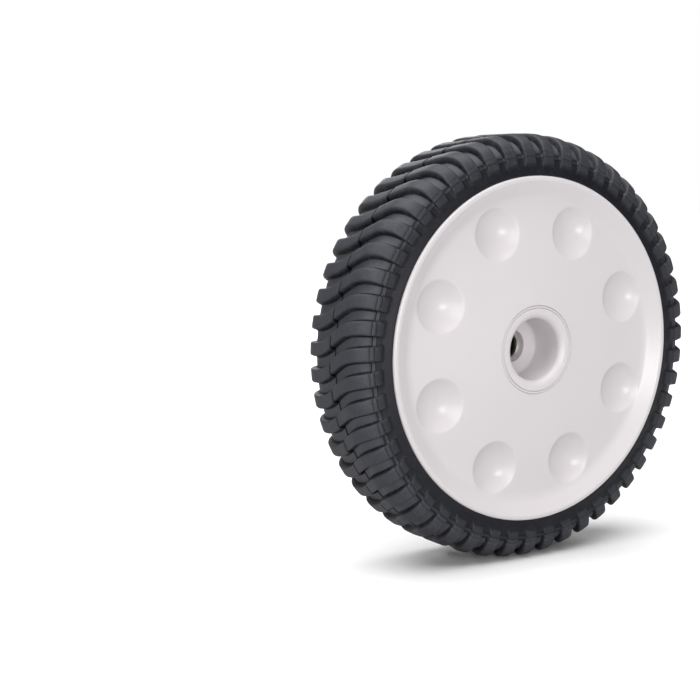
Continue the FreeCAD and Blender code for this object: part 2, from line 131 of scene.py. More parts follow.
class Surface:
    """A material in the making, with the patterns that the finishes share, on Object coordinates."""

    def __init__(self, name: str) -> None:
        """Start a material.

        Args:
            name: the real material and how its surface was made.
        """
        self.material = bpy.data.materials.new(name)
        self.material.use_nodes = True
        self.tree = self.material.node_tree
        self.place = add_node(self.tree, "ShaderNodeTexCoord").outputs["Object"]

    def attribute(self, name: str) -> NodeSocket:
        """Return the value of one of the mesh's attributes."""
        return add_node(self.tree, "ShaderNodeAttribute", attribute_name=name).outputs["Fac"]

    def noise(
        self, size_mm: float, detail: float, roughness: float = 0.5, stretch: float = 1.0
    ) -> NodeSocket:
        """Return a noise with features about size_mm across, and stretch times as long along the axle."""
        place = add_node(self.tree, "ShaderNodeMapping", {
            "Vector": self.place, "Scale": (1.0, 1.0 / stretch, 1.0)})
        return add_node(self.tree, "ShaderNodeTexNoise", {
            "Vector": place.outputs["Vector"], "Scale": 1.0 / (size_mm * MILLIMETRE), "Detail": detail,
            "Roughness": roughness}).outputs["Fac"]

    def mix(self, share: NodeSocket, first: NodeSocket | str, second: str) -> NodeSocket:
        """Return the blend of two colours, which goes from first to second as share goes from 0 to 1."""
        start = linear(first) if isinstance(first, str) else first
        return add_node(self.tree, "ShaderNodeMix", {
            0: share, 6: start, 7: linear(second)}, data_type="RGBA").outputs[2]

    def span(self, share: NodeSocket, low: NodeSocket | float, high: float) -> NodeSocket:
        """Return a value that goes from low to high as share goes from 0 to 1."""
        return add_node(self.tree, "ShaderNodeMapRange", {
            "Value": share, "To Min": low, "To Max": high}).outputs["Result"]

    def product(self, first: NodeSocket, second: NodeSocket) -> NodeSocket:
        """Return two values multiplied."""
        return add_node(self.tree, "ShaderNodeMath", {0: first, 1: second}, operation="MULTIPLY").outputs[0]

    def grain(self, size_mm: float, detail: float, depth_mm: float, strength: float) -> NodeSocket:
        """Return the normal of a surface with a fine grain."""
        return add_node(self.tree, "ShaderNodeBump", {
            "Strength": strength, "Distance": depth_mm * MILLIMETRE, "Height": self.noise(size_mm, detail),
        }).outputs["Normal"]

    def dressed(self, inputs: Inputs) -> Material:
        """Return the material with its shader's inputs set."""
        fill(self.tree, self.tree.nodes["Principled BSDF"], inputs)
        return self.material


@dataclass(frozen=True)
class MouldedRubber:
    """Carbon-black rubber from a steel mould: dull bluish grey with a pale bloom, with painted shade in the
    lugs' corners.

    Clouds and specks have real sizes. The grain is drawn coarser than real mould grain, so that it shows.
    """

    # Height on a lug from floor to top, its colour, and how much light the surface mirrors there: painted shade
    # darkest at the root and on the lower flank, painted light on the upper edges, the top and the gap's floor.
    rise_painted_shading: tuple[tuple[float, str, float], ...] = (
        (0.0, "#383941", 0.6), (0.05, "#101013", 0.1), (0.4, "#1a1b20", 0.24), (0.8, "#2b2c33", 0.5),
        (1.0, "#313239", 0.45))
    side_hex: str = "#12131a"
    side_shine: float = 0.28
    # Painted highlight on the joint band: its lighter colour. The band's shine is real gloss.
    band_highlight_hex: str = "#26272e"
    polish_shine: float = 0.5
    bloom_hex: str = "#46484d"
    bloom_range: tuple[float, float] = (0.22, 0.45)
    bloom_share: float = 0.6
    side_bloom: float = 0.25
    # Painted shade in the seam groove: near black, and nothing mirrored there.
    seam_shade_hex: str = "#030304"
    roughness: float = 0.44
    side_roughness: float = 0.34
    speck_roughness: float = 0.25
    cloud_mm: float = 7.0
    speck_mm: float = 1.6
    patch_detail: float = 5.0
    patch_contrast: float = 0.65
    grain_mm: float = 0.7
    grain_detail: float = 3.0
    grain_depth_mm: float = 0.06
    grain_strength: float = 0.6
    refraction: float = 1.52

    def make(self) -> Material:
        """Make the rubber, on which the tyre's attributes tell lugs, sidewalls, joint band and seam apart.

        Returns:
            The material.
        """
        surface = Surface("moulded_carbon_black_rubber")
        rise, side, seam, polish = map(
            surface.attribute, ("lug_rise", "smooth_side", "seam_shade", "joint_polish_and_highlight"))
        clouds, specks = (
            surface.noise(size, self.patch_detail, self.patch_contrast)
            for size in (self.cloud_mm, self.speck_mm))
        # Painted shade and light on the lugs, by height: dark roots and lower flanks, light floors and tops.
        painted_lug_shading = add_node(surface.tree, "ShaderNodeValToRGB", {"Fac": rise})
        steps = painted_lug_shading.color_ramp.elements
        while len(steps) < len(self.rise_painted_shading):
            steps.new(1.0)
        for step, (position, code, mirrored) in zip(steps, self.rise_painted_shading):
            step.position = position
            step.color = (*linear(code)[:3], mirrored)
        body = surface.mix(side, painted_lug_shading.outputs["Color"], self.side_hex)
        banded = surface.mix(surface.product(polish, clouds), body, self.band_highlight_hex)
        patches = add_node(surface.tree, "ShaderNodeMapRange", {
            "Value": surface.product(clouds, specks), "From Min": self.bloom_range[0],
            "From Max": self.bloom_range[1], "To Max": self.bloom_share}).outputs["Result"]
        bloom = surface.product(patches, surface.span(side, 1.0, self.side_bloom))
        bloomed_and_shaded = surface.mix(bloom, banded, self.bloom_hex)
        shine = surface.span(side, painted_lug_shading.outputs["Alpha"], self.side_shine)
        gloss = surface.span(polish, shine, self.polish_shine)
        sheen = surface.span(side, self.roughness, self.side_roughness)
        patchy = add_node(surface.tree, "ShaderNodeMath", {
            0: specks, 1: self.speck_roughness, 2: sheen}, operation="MULTIPLY_ADD").outputs[0]
        return surface.dressed({
            "Base Color": surface.mix(seam, bloomed_and_shaded, self.seam_shade_hex),
            "Specular IOR Level": surface.span(seam, gloss, 0.0),
            "Roughness": patchy,
            "Normal": surface.grain(
                self.grain_mm, self.grain_detail, self.grain_depth_mm, self.grain_strength),
            "IOR": self.refraction})


@dataclass(frozen=True)
class MouldedPlastic:
    """Pale grey polypropylene from a polished mould: satin, with faint flow clouds and a fine even grain.

    The grain is drawn coarser than the real one, so that it shows.
    """

    colour_hex: str = "#d6d1d3"
    cloud_hex: str = "#d1ccce"
    roughness: float = 0.25
    roughness_spread: float = 0.02
    cloud_mm: float = 38.0
    detail: float = 2.0
    grain_mm: float = 0.9
    grain_depth_mm: float = 0.012
    grain_strength: float = 0.5
    refraction: float = 1.49

    def make(self) -> Material:
        """Make the plastic.

        Returns:
            The material.
        """
        surface = Surface("moulded_grey_polypropylene")
        clouds = surface.noise(self.cloud_mm, self.detail)
        return surface.dressed({
            "Base Color": surface.mix(clouds, self.colour_hex, self.cloud_hex),
            "Roughness": surface.span(
                clouds, self.roughness - self.roughness_spread, self.roughness + self.roughness_spread),
            "Normal": surface.grain(self.grain_mm, self.detail, self.grain_depth_mm, self.grain_strength),
            "IOR": self.refraction})


@dataclass(frozen=True)
class DrawnSteel:
    """Bright drawn steel tube: metal with fine scratches along the draw, dull patches and painted shade
    darkening the bore.

    The scratches are drawn wider than real ones, so that they show.
    """

    colour_hex: str = "#e2dfda"
    dull_hex: str = "#c9c5bf"
    bore_shade_hex: str = "#1f1c19"
    smoothest: float = 0.2
    roughest: float = 0.45
    scratch_mm: float = 0.35
    scratch_detail: float = 4.0
    scratch_stretch: float = 25.0
    patch_mm: float = 3.0
    patch_detail: float = 3.0

    def make(self) -> Material:
        """Make the steel, whose scratches run along the sleeve's axis.

        Returns:
            The material.
        """
        surface = Surface("drawn_steel_tube")
        scratches = surface.noise(self.scratch_mm, self.scratch_detail, stretch=self.scratch_stretch)
        patches = surface.noise(self.patch_mm, self.patch_detail)
        metal = surface.mix(patches, self.colour_hex, self.dull_hex)
        return surface.dressed({
            # Painted shade: the bore is darkened, as the deep hole lies in shade.
            "Base Color": surface.mix(surface.attribute("bore_shade"), metal, self.bore_shade_hex),
            "Roughness": surface.span(scratches, self.smoothest, self.roughest),
            "Metallic": 1.0})


def round_corners(corners: Sequence[tuple[float, ...]], arc_steps: int = 5) -> Section:
    """Turn a closed outline with rounded corners to a run of points.

    Args:
        corners: (across, out) or (across, out, radius) in order.
        arc_steps: straight steps along each rounding; a fine one takes fewer.

    Returns:
        The outline's points.
    """
    points = [np.array(corner[:2], float) for corner in corners]
    outline: Section = []
    for index, corner in enumerate(corners):
        point = points[index]
        if len(corner) < 3:
            outline.append((point[0], point[1]))
            continue
        back = points[index - 1] - point
        ahead = points[(index + 1) % len(points)] - point
        back /= np.linalg.norm(back)
        ahead /= np.linalg.norm(ahead)
        half = math.acos(float(np.clip(back @ ahead, -1.0, 1.0))) / 2.0
        middle = back + ahead
        centre = point + middle / np.linalg.norm(middle) * (corner[2] / math.sin(half))
        first = point + back * (corner[2] / math.tan(half)) - centre
        last = point + ahead * (corner[2] / math.tan(half)) - centre
        steps = arc_steps if corner[2] > FINE_ROUNDING else FINE_STEPS
        sweep = math.pi - 2.0 * half
        if first[0] * last[1] - first[1] * last[0] < 0.0:
            sweep = -sweep
        for step in range(steps + 1):
            angle = sweep * step / steps
            cosine, sine = math.cos(angle), math.sin(angle)
            outline.append((
                centre[0] + first[0] * cosine - first[1] * sine,
                centre[1] + first[0] * sine + first[1] * cosine))
    return outline


def divide_runs(outline: Section, longest: float) -> Section:
    """Divide an outline's straight runs into short steps.

    Args:
        outline: a closed outline.
        longest: the longest step allowed.

    Returns:
        The outline with more points.
    """
    divided: Section = []
    for start, end in zip(outline, outline[1:] + outline[:1]):
        steps = max(1, math.ceil(math.dist(start, end) / longest))
        for step in range(steps):
            share = step / steps
            divided.append((
                start[0] + (end[0] - start[0]) * share, start[1] + (end[1] - start[1]) * share))
    return divided


def grid_faces(rows: int, columns: int, rows_closed: bool, columns_closed: bool) -> list[tuple[int, ...]]:
    """Return the quads of a grid whose points run along the columns first.

    Args:
        rows: points across the grid.
        columns: points along each row.
        rows_closed: whether the last row joins the first.
        columns_closed: whether the last column joins the first.

    Returns:
        The point numbers of each quad.
    """
    faces = []
    for row in range(rows if rows_closed else rows - 1):
        below = row * columns
        above = (row + 1) % rows * columns
        for column in range(columns if columns_closed else columns - 1):
            beside = (column + 1) % columns
            faces.append((below + column, below + beside, above + beside, above + column))
    return faces


def mesh_of(name: str, points: np.ndarray, faces: Sequence[tuple[int, ...]]) -> Mesh:
    """Make a mesh from points in millimetres.

    Args:
        name: the mesh's name.
        points: one row of x, y and z each.
        faces: point numbers of each face.

    Returns:
        The mesh, in metres.
    """
    mesh = bpy.data.meshes.new(name)
    mesh.from_pydata((points * MILLIMETRE).tolist(), [], faces)
    mesh.update()
    return mesh


def turned_mesh(name: str, outline: Section, columns: int) -> Mesh:
    """Turn a closed outline about the axle.

    Args:
        name: the mesh's name.
        outline: the section's points.
        columns: steps round the axle.

    Returns:
        The closed ring.
    """
    across, out = np.repeat(np.array(outline), columns, axis=0).T
    angles = np.tile(np.arange(columns) * TURN / columns, len(outline))
    points = np.column_stack((out * np.sin(angles), across, out * np.cos(angles)))
    faces = grid_faces(len(outline), columns, rows_closed=True, columns_closed=True)
    return outward(mesh_of(name, points, faces))


def prism_mesh(
    name: str, outline: Section, low: float, high: float, place: Callable[[float, float, float], Place],
    edge: float,
) -> Mesh:
    """Raise an outline to a prism and round its edges.

    Args:
        name: the mesh's name.
        outline: the points of one end.
        low: where the prism starts along its own axis.
        high: where it ends.
        place: gives x, y and z for an outline point and a height.
        edge: radius of the rounded edges.

    Returns:
        The closed prism.
    """
    count = len(outline)
    points = [place(*point, height) for height in (low, high) for point in outline]
    faces = [tuple(range(count)), tuple(range(2 * count - 1, count - 1, -1))]
    faces += grid_faces(2, count, rows_closed=False, columns_closed=True)
    mesh = mesh_of(name, np.array(points), faces)
    sharp = math.radians(PRISM_CORNER_DEGREES)
    shape = bmesh.new()
    shape.from_mesh(mesh)
    bmesh.ops.recalc_face_normals(shape, faces=shape.faces)
    edges = [e for e in shape.edges if e.calc_face_angle(0.0) > sharp]
    bmesh.ops.bevel(
        shape, geom=edges, offset=edge * MILLIMETRE, segments=2, profile=0.5, affect="EDGES",
        clamp_overlap=True)
    shape.to_mesh(mesh)
    shape.free()
    return mesh


def outward(mesh: Mesh) -> Mesh:
    """Turn a closed mesh's faces outwards.

    Args:
        mesh: the mesh, which is changed in place.

    Returns:
        The same mesh.
    """
    shape = bmesh.new()
    shape.from_mesh(mesh)
    bmesh.ops.recalc_face_normals(shape, faces=shape.faces)
    shape.to_mesh(mesh)
    shape.free()
    return mesh


def new_object(name: str, data: Mesh | Light | Camera) -> Object:
    """Put a mesh, a lamp or a camera into the scene.

    Args:
        name: the object's name.
        data: what it shows.

    Returns:
        The object, at the origin.
    """
    thing = bpy.data.objects.new(name, data)
    bpy.context.scene.collection.objects.link(thing)
    return thing


def aim(data: Light | Camera, place: Place, direction: Sequence[float]) -> Object:
    """Put a lamp or a camera into the scene, looking along a direction.

    Args:
        data: the lamp or camera.
        place: where it stands.
        direction: where it looks.

    Returns:
        The object that holds it.
    """
    holder = new_object(data.name, data)
    holder.location = Vector(place) * MILLIMETRE
    holder.rotation_mode = "QUATERNION"
    holder.rotation_quaternion = Vector(direction).to_track_quat("-Z", "Y")
    return holder


def plain_mesh(thing: Object, name: str) -> Mesh:
    """Make a plain mesh of what an object's modifiers give, and remove the object.

    Args:
        thing: the object.
        name: the new mesh's name.

    Returns:
        The mesh.
    """
    evaluated = thing.evaluated_get(bpy.context.evaluated_depsgraph_get())
    mesh = bpy.data.meshes.new_from_object(evaluated)
    mesh.name = name
    bpy.data.objects.remove(thing)
    return mesh


def combine(base: Mesh, others: Sequence[Mesh], joining: Joining) -> Mesh:
    """Join closed meshes to a base mesh, or take them away from it.

    Args:
        base: the mesh to start from.
        others: closed meshes.
        joining: whether the others are added or cut away.

    Returns:
        One closed mesh.
    """
    thing = new_object(base.name, outward(base))
    tools = [new_object(other.name, outward(other)) for other in others]
    for tool in tools:
        step = thing.modifiers.new(tool.name, "BOOLEAN")
        step.operation = joining.value
        step.solver = "MANIFOLD"
        step.object = tool
    mesh = plain_mesh(thing, base.name)
    for tool in tools:
        bpy.data.objects.remove(tool)
    return mesh


class RoundRepeat:
    """Geometry Nodes tree that repeats a shape evenly round the axle and welds the copies."""

    def __init__(self) -> None:
        """Build the tree with its named inputs."""
        tree = bpy.data.node_groups.new("repeat_round_axle", "GeometryNodeTree")
        kinds = {"Geometry": "Geometry", "Copies": "Int", "Weld Distance": "Float", "Finish": "Material"}
        self.tree = tree
        self.keys = {
            name: tree.interface.new_socket(name, in_out="INPUT", socket_type=f"NodeSocket{kind}").identifier
            for name, kind in kinds.items()}
        tree.interface.new_socket("Geometry", in_out="OUTPUT", socket_type="NodeSocketGeometry")
        start = add_node(tree, "NodeGroupInput").outputs
        points = add_node(tree, "GeometryNodePoints", {"Count": start["Copies"]})
        index = add_node(tree, "GeometryNodeInputIndex")
        step = add_node(tree, "ShaderNodeMath", {0: TURN, 1: start["Copies"]}, operation="DIVIDE")
        angle = add_node(
            tree, "ShaderNodeMath", {0: index.outputs[0], 1: step.outputs[0]}, operation="MULTIPLY")
        euler = add_node(tree, "ShaderNodeCombineXYZ", {"Y": angle.outputs[0]})
        turn = add_node(tree, "FunctionNodeEulerToRotation", {0: euler.outputs[0]})
        copies = add_node(tree, "GeometryNodeInstanceOnPoints", {
            "Points": points.outputs[0], "Instance": start["Geometry"], "Rotation": turn.outputs[0]})
        real = add_node(tree, "GeometryNodeRealizeInstances", {0: copies.outputs[0]})
        welded = add_node(tree, "GeometryNodeMergeByDistance", {
            "Geometry": real.outputs[0], "Distance": start["Weld Distance"]})
        dressed = add_node(tree, "GeometryNodeSetMaterial", {
            "Geometry": welded.outputs[0], "Material": start["Finish"]})
        add_node(tree, "NodeGroupOutput", {0: dressed.outputs[0]})

    def make(self, mesh: Mesh, copies: int, finish: Material) -> Mesh:
        """Repeat a mesh round the axle.

        Args:
            mesh: the shape at the first place.
            copies: how many there are in a full turn.
            finish: the material of all copies.

        Returns:
            A plain mesh of all copies.
        """
        thing = new_object(mesh.name, mesh)
        modifier = thing.modifiers.new("repeat", "NODES")
        modifier.node_group = self.tree
        modifier[self.keys["Copies"]] = copies
        modifier[self.keys["Weld Distance"]] = WELD_DISTANCE * MILLIMETRE
        modifier[self.keys["Finish"]] = finish
        return plain_mesh(thing, mesh.name)


def finish_piece(mesh: Mesh, name: str, node: str, sharp_degrees: float) -> Object:
    """Shade a finished mesh and set it in the frame in place of a CAD node.

    Args:
        mesh: the piece's mesh with its material.
        name: the piece's name.
        node: the CAD node that it stands for.
        sharp_degrees: edges sharper than this stay crisp.

    Returns:
        The piece.
    """
    mesh.shade_smooth()
    mesh.set_sharp_from_angle(angle=math.radians(sharp_degrees))
    piece = new_object(name, mesh)
    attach(piece, BODY)
    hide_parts(node)
    LOG.info("%s: %d faces in place of %s", name, len(mesh.polygons), node)
    return piece


class TreadRow(NamedTuple):
    """One row of points across the tyre's outside, at the gap's floor and at the lug's top."""

    floor_across: float
    floor_out: float
    top_across: float
    top_out: float
    presence: float = 0.0
    polish: float = 0.0


@dataclass
class Tyre:
    """Solid rubber tyre with S-shaped lugs, the mould's joint lines and its ramped lug ends."""

    lug_count: int = 51
    tread_radius: float = 101.6
    half_width: float = 24.0
    shoulder_round: float = 13.0
    floor_drop: float = 3.2
    floor_inset: float = 1.6
    floor_round: float = 11.5
    lug_shift: float = 12.6
    bend_spacing: float = 21.0
    bend_offset: float = 4.0
    bend_round: float = 26.0
    lug_foot_radius: float = 85.6
    bead_radius: float = 81.8
    bead_edge: float = 0.4
    edge_share: float = 0.3
    bead_margin: float = 1.0
    side_shares: tuple[float, ...] = (0.35, 0.7, 1.0)
    bore_radius: float = 73.1
    seat_outboard: float = 19.1
    seat_inboard: float = 17.1
    bead_inboard: float = 19.2
    bead_outboard: float = 23.8
    sidewall_radius: float = 86.8
    seam_place: float = -2.4
    seam_depth: float = 1.2
    seam_half: float = 0.7
    seam_fin: float = 0.35
    seam_shoulder: float = 0.3
    seam_jog: float = 0.3
    jog_fade: float = 7.0
    # The joint band on the shoulder: degrees from its angle, and its depth. What stands up is polished, and
    # painted lighter as a highlight.
    joint_angle: float = 157.0
    joint_profile: tuple[tuple[float, float], ...] = (
        (9.4, 0.0), (8.7, 0.25), (8.0, -0.06), (4.0, -0.06), (0.0, -0.06), (-0.7, 0.25), (-1.4, 0.0))
    joint_margin: float = 1.0
    joint_radius: float = 93.0
    joint_blend: float = 1.2
    end_share: float = 0.4
    end_angle: float = 140.0
    end_tread: float = 0.5
    ramp_steps: int = 6
    arc_steps: int = 15
    sharp_degrees: float = 62.0
    # A lug's flank: distance from its middle, and the share of its height there.
    flank: tuple[tuple[float, float], ...] = (
        (4.3, 0.0), (3.8, 0.04), (3.5, 0.2), (3.22, 0.68), (3.05, 0.87), (2.68, 0.97), (2.1, 1.0), (0.7, 1.0))

    def sway(self, across: np.ndarray) -> np.ndarray:
        """Work out the S of a lug's middle line, with the small step at the seam.

        Args:
            across: places along the axle.

        Returns:
            How far the line lies along the tread from its mean, at each place.
        """
        middle = across + self.bend_offset
        reach = np.abs(middle)
        half = self.lug_shift / 2.0
        slope = math.atan2(self.lug_shift, self.bend_spacing)
        tangent = self.bend_round * math.tan(slope / 2.0)
        far = self.bend_spacing / 2.0 + tangent
        near = self.bend_spacing / 2.0 - tangent * math.cos(slope)
        arc = half - self.bend_round + np.sqrt(
            np.maximum(self.bend_round ** 2 - np.maximum(far - reach, 0.0) ** 2, 0.0))
        offset = np.where(reach >= far, half, np.where(reach >= near, arc, reach * math.tan(slope)))
        past = across - self.seam_place
        fade = np.clip(1.0 - np.abs(past) / self.jog_fade, 0.0, 1.0)
        return -np.sign(middle) * offset - self.seam_jog * np.sign(past) * fade

    def half_rows(self, side: int) -> list[TreadRow]:
        """Lay out one half of the tyre's outside, from the rim to the seam.

        Args:
            side: -1 for the outer side, 1 for the inboard one.

        Returns:
            The rows in order.
        """
        floor_half = self.half_width - self.floor_inset
        floor_radius = self.tread_radius - self.floor_drop
        floor_centre = (floor_half - self.floor_round, floor_radius - self.floor_round)
        top_centre = (self.half_width - self.shoulder_round, self.tread_radius - self.shoulder_round)
        bead = self.bead_outboard if side < 0 else self.bead_inboard
        low, foot = self.bead_radius, self.lug_foot_radius
        edge, corner = self.bead_edge, self.bead_edge * self.edge_share
        rows: list[TreadRow] = []

        def wall(out: float) -> float:
            """Return the sidewall's place along the axle at a radius."""
            return bead + (floor_half - bead) * min(1.0, (out - low) / (self.sidewall_radius - low))

        for inset, out in ((edge, 0.0), (corner, corner), (0.0, edge)):
            place = wall(low + out) - inset
            rows.append(TreadRow(place, low + out, place, low + out))
        for share in self.side_shares:
            out = low + edge + (foot - low - edge) * share
            rows.append(TreadRow(wall(out), out, wall(out), out))
        for step in range(1, self.ramp_steps + 1):
            share = step / self.ramp_steps
            floor_out = foot + (floor_centre[1] - foot) * share
            rise = share * share * (3.0 - 2.0 * share)
            place = wall(floor_out)
            rows.append(TreadRow(
                place, floor_out, place + (self.half_width - place) * rise * self.end_share,
                foot + (top_centre[1] - foot) * share, rise))
        marks = {self.joint_angle + offset: sunk for offset, sunk in self.joint_profile}
        for step in range(1, self.arc_steps + 1):
            degrees = 180.0 - 90.0 * step / self.arc_steps
            if not min(marks) - self.joint_margin < degrees < max(marks) + self.joint_margin:
                marks[degrees] = 0.0
        for degrees, sunk in sorted(marks.items(), reverse=True):
            angle = math.radians(degrees)
            away = np.array((-math.cos(angle), math.sin(angle)))
            floor = np.array(floor_centre) + (self.floor_round - sunk) * away
            top = np.array(top_centre) + (self.shoulder_round - sunk) * away
            below = max(0.0, (degrees - self.end_angle) / (180.0 - self.end_angle))
            top = floor + (top - floor) * (1.0 - (1.0 - self.end_share) * below)
            rows.append(TreadRow(*floor, *top, 1.0, float(sunk < 0.0)))
        seam = side * self.seam_place
        beside = seam + self.seam_half
        steps = math.ceil(top_centre[0] - beside)
        for step in range(1, steps + 1):
            place = top_centre[0] + (beside - top_centre[0]) * step / steps
            rows.append(TreadRow(place, floor_radius, place, self.tread_radius, 1.0))
        place = seam + self.seam_half * self.seam_shoulder
        shoulder_out = self.tread_radius - self.seam_depth * self.seam_shoulder
        rows.append(TreadRow(place, floor_radius, place, shoulder_out, 1.0))
        return [
            row._replace(floor_across=side * row.floor_across, top_across=side * row.top_across)
            for row in rows]

    def pitch_mesh(self) -> Mesh:
        """Make one pitch of the tyre: a lug with half a gap on each side, and the bore under it.

        Returns:
            The open mesh, with the attributes that the rubber reads.
        """
        floor_radius = self.tread_radius - self.floor_drop
        seam = TreadRow(
            self.seam_place, floor_radius + self.seam_fin,
            self.seam_place, self.tread_radius - self.seam_depth, 1.0)
        seat = (
            (self.seat_inboard, self.bead_radius), (self.seat_inboard, self.bore_radius),
            (-self.seat_outboard, self.bore_radius), (-self.seat_outboard, self.bead_radius))
        table = np.array([
            *self.half_rows(-1), seam, *self.half_rows(1)[::-1],
            *(TreadRow(*corner, *corner) for corner in seat)])
        # The columns run from a gap's middle up the lug, down it and to the next gap's middle.
        flank = np.array(self.flank)
        offsets = np.pad(np.concatenate((-flank[:, 0], flank[::-1, 0])), 1)
        heights = np.pad(np.concatenate((flank[:, 1], flank[::-1, 1])), 1)
        floor, top = table[:, None, 0:2], table[:, None, 2:4]
        place = floor + (top - floor) * heights[:, None]
        half_pitch = math.pi / self.lug_count
        sway = self.sway(place[:, :, 0])
        sway[table[:, 1] < self.bead_radius - self.bead_margin] = 0.0
        out = place[:, :, 1]
        angles = np.arcsin((sway + offsets) / out)
        angles[:, 0] -= half_pitch
        angles[:, -1] += half_pitch
        points = np.stack((out * np.sin(angles), place[:, :, 0], out * np.cos(angles)), axis=2)
        faces = grid_faces(*out.shape, rows_closed=True, columns_closed=False)
        mesh = mesh_of("tyre_pitch", points.reshape(-1, 3), faces)
        rise = heights * table[:, 4:5]
        from_seam = np.abs(place[:, :, 0] - self.seam_place)
        outside = out > self.bead_radius + self.bead_margin
        below_joint = np.clip((self.joint_radius - out) / self.joint_blend, 0.0, 1.0)
        layers = {
            "lug_rise": rise,
            "joint_polish_and_highlight": np.repeat(table[:, 5:6], len(heights), axis=1),
            # Painted shade along the seam groove, outside the bead.
            "seam_shade": np.where(outside, np.clip(1.0 - from_seam / self.seam_half, 0.0, 1.0), 0.0),
            "smooth_side": below_joint * (1.0 - self.end_tread * rise),
        }
        for name, values in layers.items():
            layer = mesh.attributes.new(name, "FLOAT", "POINT")
            layer.data.foreach_set("value", values.astype(np.float32).ravel())
        return mesh

    def build(self, repeat: RoundRepeat, finish: Material) -> Object:
        """Repeat the pitch round the wheel and set the tyre in the frame.

        Args:
            repeat: the tree that repeats shapes round the axle.
            finish: the rubber.

        Returns:
            The tyre.
        """
        mesh = outward(repeat.make(self.pitch_mesh(), self.lug_count, finish))
        return finish_piece(mesh, "moulded_tyre", "tyre", self.sharp_degrees)


